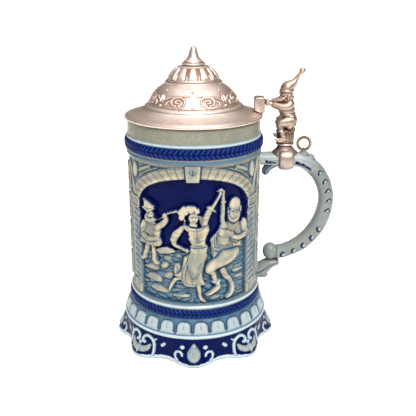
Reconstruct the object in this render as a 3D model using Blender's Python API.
"""Half-litre stoneware beer stein with a hinged pewter lid, as an assembly of separate pieces.

Frame: metres, +Z up. The origin is the middle of the flat underside, on the vessel's axis. The handle
points along +X, and the decorated front faces -Y. The lid turns about a pin parallel to +Y on top of
the keg that stands on the handle strap.
"""

import math

import bmesh
import bpy
from mathutils import Matrix, Vector

MM = 0.001
GAP = 0.3  # clearance between neighbouring pieces, in millimetres like every length below

# Vessel
RIM_Z = 159.6
WALL_R = 45.0
BORE_R = 39.6
FLOOR_Z = 22.0
LOBES = 8
LOBE_REACH = 4.0  # how far a lobe of the skirt stands out, and a valley in, at the table
LOBED_BELOW = 17.0
BODY_SIDES = 8 * LOBES

# Handle
HANDLE_HALF_WIDTH = 6.4
HANDLE_SIDES = 16
STRAP_X = 63.2
STRAP_LENGTH = 10.2
STRAP_WALL = 1.8
POST_X = 62.0

# Keg, the fixed post of the hinge
KEG_FOOT_Z = 139.9
KEG_TOP_Z = 151.2
KEG_R = 6.2
KEG_FOOT = (POST_X, 0.0, KEG_FOOT_Z)

# Hinge
HINGE_X = 66.4
HINGE_Z = 151.6
HINGE = (HINGE_X, 0.0, HINGE_Z)
KNUCKLE_R = 1.7
KNUCKLE_HALF = 2.3
EAR_IN = KNUCKLE_HALF + GAP
EAR_OUT = 5.0
PIN_R = 0.7
PIN_CLEARANCE = 0.15
PIN_HEAD_R = 1.3
PIN_HEAD_LENGTH = 0.7

# Lid
LID_SIDES = 48
LID_Z = RIM_Z + GAP
BRIM_R = 46.3
LINER_R = 38.4
LINER_WALL = 1.5
LINER_DEPTH = 4.4
STUD_R = 1.5
BLOCK_HALF_WIDTH = 4.5

# Hanging eye
EYE_X = 75.0
EYE_Z = 140.9
EYE_R = 4.35
EYE_WIRE_R = 0.85
EYE_STEM_R = 1.0
EYE_STEM_FOOT_Z = 129.5


# ---------------------------------------------------------------- helpers


def clear_scene():
    for obj in list(bpy.data.objects):
        bpy.data.objects.remove(obj, do_unlink=True)


def material(name, color, roughness, metallic):
    made = bpy.data.materials.new(name)
    made.use_nodes = True
    shader = made.node_tree.nodes["Principled BSDF"]
    shader.inputs["Base Color"].default_value = (*color, 1.0)
    shader.inputs["Roughness"].default_value = roughness
    shader.inputs["Metallic"].default_value = metallic
    return made


def add_object(name, bm, finish=None, origin=(0.0, 0.0, 0.0), smooth_angle=40):
    """Turns a bmesh in millimetres into an object in metres, with its origin where origin says."""
    bmesh.ops.recalc_face_normals(bm, faces=bm.faces)
    bm.transform(Matrix.Scale(MM, 4) @ Matrix.Translation(-Vector(origin)))
    mesh = bpy.data.meshes.new(name)
    bm.to_mesh(mesh)
    bm.free()
    mesh.shade_smooth()
    mesh.set_sharp_from_angle(angle=math.radians(smooth_angle))
    obj = bpy.data.objects.new(name, mesh)
    obj.location = Vector(origin) * MM
    bpy.context.scene.collection.objects.link(obj)
    if finish:
        mesh.materials.append(finish)
    return obj


def attach(obj, parent):
    """Parents obj without moving it."""
    bpy.context.view_layer.update()
    obj.parent = parent
    obj.matrix_parent_inverse = parent.matrix_world.inverted()


def bridge(bm, first, second):
    """Quads between two rings of as many vertices."""
    count = len(first)
    for i in range(count):
        j = (i + 1) % count
        bm.faces.new((first[i], first[j], second[j], second[i]))


def lathe(profile, sides, centre=(0.0, 0.0), radius=None, closed=False):
    """A bmesh turned about a vertical axis. profile is (radius, height) from one end to the other.

    An end at radius 0 becomes a pole. closed joins the last ring to the first, for a hollow ring.
    radius(r, z, angle) may replace the radius, for a shape that isn't round.
    """
    bm = bmesh.new()
    rings = []
    for r, z in profile:
        if r == 0:
            rings.append([bm.verts.new((centre[0], centre[1], z))])
            continue
        ring = []
        for i in range(sides):
            angle = math.tau * i / sides
            reach = radius(r, z, angle) if radius else r
            x = centre[0] + reach * math.cos(angle)
            y = centre[1] + reach * math.sin(angle)
            ring.append(bm.verts.new((x, y, z)))
        rings.append(ring)
    pairs = list(zip(rings, rings[1:]))
    if closed:
        pairs.append((rings[-1], rings[0]))
    for first, second in pairs:
        if len(first) == len(second) == 1:
            continue
        if len(first) == 1:
            bridge_pole(bm, first[0], second)
        elif len(second) == 1:
            bridge_pole(bm, second[0], first)
        else:
            bridge(bm, first, second)
    return bm


def bridge_pole(bm, pole, ring):
    for i, vert in enumerate(ring):
        bm.faces.new((pole, vert, ring[(i + 1) % len(ring)]))


def sweep(stations, sides=HANDLE_SIDES):
    """A capped tube along a path in the XZ plane. A station is (x, z, half thickness, half width)."""
    bm = bmesh.new()
    rings = []
    for i, (x, z, thick, wide) in enumerate(stations):
        before = stations[max(i - 1, 0)]
        after = stations[min(i + 1, len(stations) - 1)]
        along = Vector((after[0] - before[0], 0, after[1] - before[1])).normalized()
        normal = Vector((-along.z, 0, along.x))
        ring = []
        for k in range(sides):
            angle = math.tau * (k + 0.5) / sides
            offset = normal * (thick * math.cos(angle)) + Vector((0, wide * math.sin(angle), 0))
            ring.append(bm.verts.new(Vector((x, 0, z)) + offset))
        rings.append(ring)
    for first, second in zip(rings, rings[1:]):
        bridge(bm, first, second)
    bm.faces.new(rings[0])
    bm.faces.new(rings[-1])
    return bm


def limb(points, sides=10):
    """A capped tube along a path in space. A point is (x, y, z, radius)."""
    bm = bmesh.new()
    rings = []
    for i, point in enumerate(points):
        before = Vector(points[max(i - 1, 0)][:3])
        after = Vector(points[min(i + 1, len(points) - 1)][:3])
        turn = (after - before).to_track_quat("Z", "Y")
        ring = []
        for k in range(sides):
            angle = math.tau * k / sides
            offset = Vector((math.cos(angle), math.sin(angle), 0)) * point[3]
            ring.append(bm.verts.new(Vector(point[:3]) + turn @ offset))
        rings.append(ring)
    for first, second in zip(rings, rings[1:]):
        bridge(bm, first, second)
    bm.faces.new(rings[0])
    bm.faces.new(rings[-1])
    return bm


def ellipsoid(centre, radii, rings=8, sides=12):
    bm = bmesh.new()
    bmesh.ops.create_uvsphere(bm, u_segments=sides, v_segments=rings, radius=1.0)
    bm.transform(Matrix.Translation(centre) @ Matrix.Diagonal((*radii, 1.0)))
    return bm


def box(low, high):
    bm = bmesh.new()
    bmesh.ops.create_cube(bm, size=1.0)
    size = Vector(high) - Vector(low)
    middle = (Vector(high) + Vector(low)) / 2
    bm.transform(Matrix.Translation(middle) @ Matrix.Diagonal((*size, 1.0)))
    return bm


def rod_y(radius, y_low, y_high, x=HINGE_X, z=HINGE_Z, sides=20):
    """A solid cylinder parallel to Y, by default on the hinge's axis."""
    bm = bmesh.new()
    bmesh.ops.create_cone(
        bm, cap_ends=True, segments=sides, radius1=radius, radius2=radius, depth=y_high - y_low
    )
    middle = (x, (y_low + y_high) / 2, z)
    bm.transform(Matrix.Translation(middle) @ Matrix.Rotation(math.pi / 2, 4, "X"))
    return bm


def extrude_xz(outline, half_width):
    """A prism of an outline in the XZ plane, from -half_width to half_width along Y."""
    bm = bmesh.new()
    sides = [[bm.verts.new((x, y, z)) for x, z in outline] for y in (-half_width, half_width)]
    bridge(bm, *sides)
    bm.faces.new(sides[0])
    bm.faces.new(sides[1])
    return bm


def combine(target, operation, *tools):
    """Adds an EXACT Boolean for each tool, which stays in the file as a hidden helper that moves with target."""
    for bm in tools:
        tool = add_object(f"{target.name}_tool", bm)
        attach(tool, target)
        tool.hide_render = True
        tool.display_type = "WIRE"
        step = target.modifiers.new(operation.title(), "BOOLEAN")
        step.operation = operation
        step.solver = "EXACT"
        step.object = tool
    return target


# ---------------------------------------------------------------- vessel


def foot_radius(r, z, angle):
    """The skirt spreads into lobes towards the table. It is round above LOBED_BELOW."""
    if z >= LOBED_BELOW or r < WALL_R:
        return r
    share = ((LOBED_BELOW - z) / LOBED_BELOW) ** 1.5
    return r + LOBE_REACH * share * math.cos(LOBES * angle)


def make_vessel(finish):
    outside = [
        (BORE_R + 0.2, RIM_Z - 1.2),
        (BORE_R + 1.2, RIM_Z),
        (WALL_R - 1.1, RIM_Z),
        (WALL_R - 0.4, RIM_Z - 0.8),
        (WALL_R - 0.3, 150.4),
        (45.5, 149.1),  # upper white ring
        (45.3, 148.0),
        (47.0, 144.6),  # upper braid
        (45.6, 140.2),
        (46.0, 138.2),
        (WALL_R, 136.6),
        (WALL_R, 42.0),
        (45.8, 39.4),  # lower white ring
        (45.4, 38.2),
        (46.6, 34.8),  # lower braid
        (45.5, 31.0),
        (46.6, 29.2),  # arcaded shoulder
        (49.4, 22.0),
        (50.8, 19.8),
        (50.1, 18.0),
    ]
    skirt = [(50.4, 13.0), (51.4, 8.0), (52.8, 4.0), (53.7, 1.6), (53.2, 0.3), (52.2, 0.0)]
    inside = [(0, 0), (0, FLOOR_Z), (30.0, FLOOR_Z + 0.5), (36.8, FLOOR_Z + 2.8), (BORE_R, FLOOR_Z + 7.4)]
    profile = outside + skirt + inside
    bm = lathe(profile, BODY_SIDES, radius=foot_radius, closed=True)
    return add_object("stoneware_body", bm, finish)


# ---------------------------------------------------------------- handle

HANDLE_PATH = [
    # x, z, half thickness, half width
    (42.0, 130.4, 4.5, 5.6),
    (49.0, 130.6, 4.5, 5.8),
    (56.5, 130.4, 4.7, HANDLE_HALF_WIDTH),
    (63.0, 130.2, 4.9, HANDLE_HALF_WIDTH),
    (70.0, 129.9, 5.0, HANDLE_HALF_WIDTH),
    (75.6, 128.4, 5.3, HANDLE_HALF_WIDTH),
    (81.0, 125.0, 5.4, HANDLE_HALF_WIDTH),
    (86.0, 119.6, 5.4, HANDLE_HALF_WIDTH),
    (90.0, 112.0, 5.4, HANDLE_HALF_WIDTH),
    (92.0, 102.6, 5.4, HANDLE_HALF_WIDTH),
    (91.0, 92.6, 5.5, HANDLE_HALF_WIDTH),
    (87.4, 82.6, 5.5, 6.2),
    (82.0, 74.4, 5.4, 6.0),
    (75.0, 67.8, 5.2, 5.8),
    (67.0, 63.4, 5.0, 5.6),
    (60.0, 61.4, 5.0, 5.6),
    (55.0, 61.6, 4.8, 5.4),
]
UPPER_SCROLL = [
    (49.6, 119.8, 1.6, 4.0),
    (49.4, 122.4, 2.9, 5.0),
    (51.6, 124.8, 2.8, 5.2),
    (56.0, 127.0, 2.6, 5.4),
]
LOWER_BRACKET = [
    (60.2, 53.6, 1.8, 4.6),
    (57.0, 53.0, 3.2, 5.0),
    (52.6, 51.4, 4.4, 5.4),
    (48.0, 48.0, 5.6, 5.8),
    (42.0, 45.4, 5.4, 5.8),
]
LOWER_CURL = [(46.0, 43.6, 2.0, 4.6), (50.0, 43.4, 1.9, 4.4), (52.4, 44.4, 1.2, 3.6)]
BALL = ((54.2, 0, 61.8), (5.6, 5.9, 6.4))
THUMB_BUMP = ((79.6, 0, 130.4), (3.6, 3.8, 3.4))


def make_handle(finish):
    handle = add_object("handle", sweep(HANDLE_PATH), finish)
    combine(
        handle,
        "UNION",
        sweep(UPPER_SCROLL, 12),
        sweep(LOWER_BRACKET, 12),
        sweep(LOWER_CURL, 10),
        ellipsoid(*BALL, rings=10, sides=16),
        ellipsoid(*THUMB_BUMP),
    )
    vessel_side = lathe([(0, 30.0), (WALL_R + 1.1, 30.0), (WALL_R + 1.1, 54.0), (WALL_R + GAP, 55.0),
                         (WALL_R + GAP, 145.0), (0, 145.0)], BODY_SIDES)
    eye_hole = lathe([(0, EYE_STEM_FOOT_Z - GAP), (EYE_STEM_R + GAP, EYE_STEM_FOOT_Z - GAP),
                      (EYE_STEM_R + GAP, 145.0), (0, 145.0)], 16, centre=(EYE_X, 0))
    return combine(handle, "DIFFERENCE", vessel_side, eye_hole)


# ---------------------------------------------------------------- fixed pewter mount


def make_strap(finish):
    """A band round the handle, with a flared saddle on top that carries the keg."""
    half = HANDLE_HALF_WIDTH + GAP + STRAP_WALL
    low, high = 123.4, 137.0
    ends = STRAP_X - STRAP_LENGTH / 2, STRAP_X + STRAP_LENGTH / 2
    band = sweep(
        [(x, (low + high) / 2, (high - low) / 2 + swell, half + swell)
         for x, swell in ((ends[0], -0.5), (ends[0] + 1.2, 0.4), (ends[1] - 1.2, 0.4), (ends[1], -0.5))],
        20,
    )
    strap = add_object("handle_strap", band, finish, origin=(STRAP_X, 0, (low + high) / 2))
    saddle = lathe([(0, 131.0), (9.2, 133.6), (9.2, 135.2), (7.8, 136.6), (5.9, 138.0), (5.1, 139.6),
                    (0, 139.6)], 24, centre=(POST_X, 0))
    combine(strap, "UNION", saddle)
    handle_space = [(x, z, thick + GAP, wide + GAP) for x, z, thick, wide in HANDLE_PATH[1:7]]
    return combine(strap, "DIFFERENCE", sweep(handle_space))


def make_keg(finish):
    """The keg is the fixed post of the hinge: two ears at its back edge hold the pin."""
    profile = [(0, KEG_FOOT_Z), (4.9, KEG_FOOT_Z), (5.5, 141.8), (KEG_R, 146.0), (KEG_R, 149.2),
               (5.9, KEG_TOP_Z), (0, KEG_TOP_Z)]
    hoop_seat = [(4.0, 140.3), (9.0, 140.3), (9.0, 142.1), (5.1, 142.1)]
    keg = add_object("keg_post", lathe(profile, 24, centre=(POST_X, 0)), finish, KEG_FOOT)
    combine(keg, "UNION", rod_y(KNUCKLE_R, -EAR_OUT, EAR_OUT))
    return combine(
        keg,
        "DIFFERENCE",
        rod_y(KNUCKLE_R + 0.8, -EAR_IN, EAR_IN),
        rod_y(PIN_R + PIN_CLEARANCE, -9.0, 9.0, sides=16),
        lathe(hoop_seat, 24, centre=(POST_X, 0), closed=True),
    )


def make_keg_hoop(finish):
    profile = [(5.4, 140.6), (6.0, 140.7), (6.2, 141.2), (6.0, 141.7), (5.4, 141.8)]
    return add_object("keg_hoop", lathe(profile, 24, centre=(POST_X, 0), closed=True), finish, KEG_FOOT)


def make_hinge_pin(finish):
    head_start = EAR_OUT + GAP
    shaft = rod_y(PIN_R, -head_start - PIN_HEAD_LENGTH / 2, head_start + PIN_HEAD_LENGTH - 0.1, sides=16)
    head = rod_y(PIN_HEAD_R, -head_start - PIN_HEAD_LENGTH, -head_start, sides=16)
    return combine(add_object("hinge_pin", shaft, finish, HINGE), "UNION", head)


def make_pin_cap(finish):
    """The ring that is riveted over the pin's far end."""
    start = EAR_OUT + GAP
    ring = rod_y(PIN_HEAD_R, start, start + PIN_HEAD_LENGTH, sides=16)
    cap = add_object("hinge_pin_cap", ring, finish, HINGE)
    return combine(cap, "DIFFERENCE", rod_y(PIN_R + PIN_CLEARANCE, 0.0, 9.0, sides=16))


def make_hanging_eye(finish):
    """A closed ring on a stem that is fixed in a hole in the top of the handle."""
    around, section = 28, 10
    bm = bmesh.new()
    rings = []
    for i in range(around):
        turn = math.tau * i / around
        ring = []
        for k in range(section):
            angle = math.tau * k / section
            reach = EYE_R + EYE_WIRE_R * math.cos(angle)
            x = EYE_X + reach * math.sin(turn)
            z = EYE_Z + reach * math.cos(turn)
            ring.append(bm.verts.new((x, EYE_WIRE_R * math.sin(angle), z)))
        rings.append(ring)
    for first, second in zip(rings, rings[1:] + rings[:1]):
        bridge(bm, first, second)
    eye = add_object("hanging_eye", bm, finish, origin=(EYE_X, 0, EYE_Z))
    top = EYE_Z - EYE_R
    stem = lathe([(0, EYE_STEM_FOOT_Z), (EYE_STEM_R, EYE_STEM_FOOT_Z), (EYE_STEM_R, top), (0, top)],
                 12, centre=(EYE_X, 0))
    return combine(eye, "UNION", stem)


# ---------------------------------------------------------------- lid


def make_lid_brim(finish):
    profile = [(33.4, 166.8), (35.6, 165.2), (38.6, 163.8), (42.0, 162.8), (44.6, 162.3),
               (45.9, 161.8), (BRIM_R, 161.0), (46.0, 160.2), (45.4, LID_Z), (39.3, LID_Z),
               (38.9, 162.0), (35.6, 163.6), (33.4, 165.0)]
    return add_object("lid_brim", lathe(profile, LID_SIDES, closed=True), finish)


def make_lid_liner(finish):
    """The ring that centres the lid in the mouth."""
    inner, top, foot = LINER_R - LINER_WALL, 161.6, LID_Z - LINER_DEPTH
    profile = [(inner, top), (LINER_R, top), (LINER_R, foot + 0.6), (LINER_R - 0.6, foot), (inner, foot)]
    return add_object("lid_liner", lathe(profile, LID_SIDES, closed=True), finish)


def make_lid_dome(finish):
    """The embossed cone between the brim and the fluted cap, with a bead at each end."""
    outside = [(17.6, 183.8), (18.6, 183.9), (19.0, 183.0), (18.9, 182.2), (22.2, 180.0), (25.0, 177.4),
               (27.8, 173.8), (29.8, 170.6), (31.2, 168.6), (32.2, 168.0), (33.0, 167.3), (33.0, 166.6)]
    inside = [(31.4, 166.6), (29.6, 169.0), (26.4, 173.0), (23.2, 177.0), (20.4, 179.6), (17.4, 181.6)]
    return add_object("lid_dome", lathe(outside + inside, LID_SIDES, closed=True), finish)


def make_fluted_cap(finish):
    bore = STUD_R + GAP
    outside = [(bore, 193.6), (8.2, 193.6), (10.0, 192.7), (12.8, 190.0), (15.4, 186.6), (17.3, 184.2)]
    inside = [(16.0, 183.9), (14.0, 186.0), (11.6, 189.0), (9.2, 191.3), (7.8, 192.1), (bore, 192.1)]
    return add_object("lid_fluted_cap", lathe(outside + inside, LID_SIDES, closed=True), finish)


def make_finial_collar(finish):
    bore = STUD_R + GAP
    profile = [(bore, 195.4), (7.3, 195.4), (7.8, 194.7), (7.3, 193.9), (bore, 193.9)]
    return add_object("finial_collar", lathe(profile, 32, closed=True), finish)


def make_finial(finish):
    """The spire, with the stud that runs down through the collar and the cap."""
    profile = [(0, 205.7), (1.3, 205.2), (2.0, 204.2), (2.9, 201.4), (3.9, 198.9), (5.3, 196.8),
               (6.6, 195.7), (STUD_R, 195.7), (STUD_R, 188.4), (0, 188.4)]
    return add_object("finial_spire", lathe(profile, 32), finish)


def make_lid_block(finish):
    """The upright tang on the brim that the figure holds."""
    outline = [(40.4, 164.0), (43.4, 163.1), (46.2, 162.5), (47.2, 162.9), (47.4, 172.2), (46.6, 173.0),
               (41.2, 173.0), (40.4, 172.2)]
    return add_object("lid_block", extrude_xz(outline, BLOCK_HALF_WIDTH), finish)


# ---------------------------------------------------------------- thumb lift


def make_thumb_lift(finish):
    """The seated gnome. Its hands meet the lid's block, and the knuckle under its back turns on the pin."""
    torso = ellipsoid((63.0, 0, 162.4), (5.6, 5.6, 7.6), rings=10, sides=16)
    figure = add_object("thumb_lift_gnome", torso, finish, HINGE)
    hips = ellipsoid((63.4, 0, 156.9), (5.7, 6.05, 4.6), rings=9, sides=14)
    head = ellipsoid((62.2, 0, 173.8), (4.4, 4.5, 5.0), rings=9, sides=14)
    beard = limb([(60.2, 0, 172.5, 3.6), (57.6, 0, 170.9, 3.2), (53.8, 0, 169.9, 1.7)], 11)
    hat = limb([(62.3, 0, 176.6, 4.6), (64.4, 0, 180.2, 3.5), (67.6, 0, 183.6, 1.9),
                (71.6, 0, 189.2, 1.0)], 13)
    ball = ellipsoid((72.3, 0, 190.1), (1.8, 1.8, 1.8), rings=7, sides=11)
    combine(figure, "UNION", hips, head, beard, hat, ball)
    for side in (-1, 1):
        arm = limb([(63.4, side * 4.6, 168.6, 2.3), (59.0, side * 5.2, 167.2, 2.1),
                    (53.6, side * 3.4, 168.0, 1.7), (47.4 + GAP, side * 2.1, 168.4, 1.6)], 9)
        thigh = limb([(65.0, side * 3.2, 156.7, 3.0), (58.4, side * 5.5, 156.1, 2.6),
                      (56.6, side * 6.4, 155.2, 2.1)], 9)
        shin = limb([(56.7, side * 6.6, 156.2, 1.9), (57.6, side * 7.7, 151.0, 1.6),
                     (58.6, side * 8.0, 146.6, 1.4), (56.4, side * 8.0, 142.8, 1.3)], 8)
        combine(figure, "UNION", arm, thigh, shin)
    # The seat stays above the keg, and behind the pin it is cut back so that it clears the keg as it turns.
    under_seat = box((51.3, -5.3, 140.0), (73.1, 5.3, KEG_TOP_Z + 2 * GAP))
    behind_pin = extrude_xz([(HINGE_X + 0.2, HINGE_Z - 0.5), (HINGE_X + 6.4, HINGE_Z + 8.6),
                             (HINGE_X + 9.0, HINGE_Z - 4.0)], 7.3)
    ears_space = rod_y(KNUCKLE_R + 0.4, -8.3, 8.3)
    combine(figure, "DIFFERENCE", under_seat, behind_pin, ears_space)
    web = box((HINGE_X - 1.3, -KNUCKLE_HALF, HINGE_Z - 0.7),
              (HINGE_X + 0.7, KNUCKLE_HALF, HINGE_Z + 5.0))
    combine(figure, "UNION", web, rod_y(KNUCKLE_R, -KNUCKLE_HALF + 0.1, KNUCKLE_HALF - 0.1))
    return combine(figure, "DIFFERENCE", rod_y(PIN_R + PIN_CLEARANCE, -9.0, 9.0, sides=16))


# ---------------------------------------------------------------- assembly


def hang_on_hinge(pieces):
    """The lid's pieces turn together about the Y axis of an empty on the hinge's axis."""
    hinge = bpy.data.objects.new("lid_hinge", None)
    hinge.location = Vector(HINGE) * MM
    bpy.context.scene.collection.objects.link(hinge)
    for piece in pieces:
        attach(piece, hinge)


def main():
    clear_scene()
    stoneware = material("stoneware", (0.52, 0.50, 0.42), 0.35, 0.0)
    pewter = material("pewter", (0.62, 0.52, 0.47), 0.35, 1.0)
    dark_pewter = material("dark_pewter", (0.42, 0.33, 0.29), 0.4, 1.0)
    brass = material("aged_brass", (0.42, 0.27, 0.16), 0.35, 1.0)
    steel = material("steel", (0.45, 0.43, 0.42), 0.4, 1.0)

    make_vessel(stoneware)
    make_handle(stoneware)
    make_strap(pewter)
    make_keg(dark_pewter)
    make_keg_hoop(pewter)
    make_hinge_pin(steel)
    make_pin_cap(steel)
    make_hanging_eye(brass)

    lid_makers = (make_lid_brim, make_lid_liner, make_lid_dome, make_fluted_cap, make_finial_collar,
                  make_finial, make_lid_block, make_thumb_lift)
    hang_on_hinge([make(pewter) for make in lid_makers])


main()
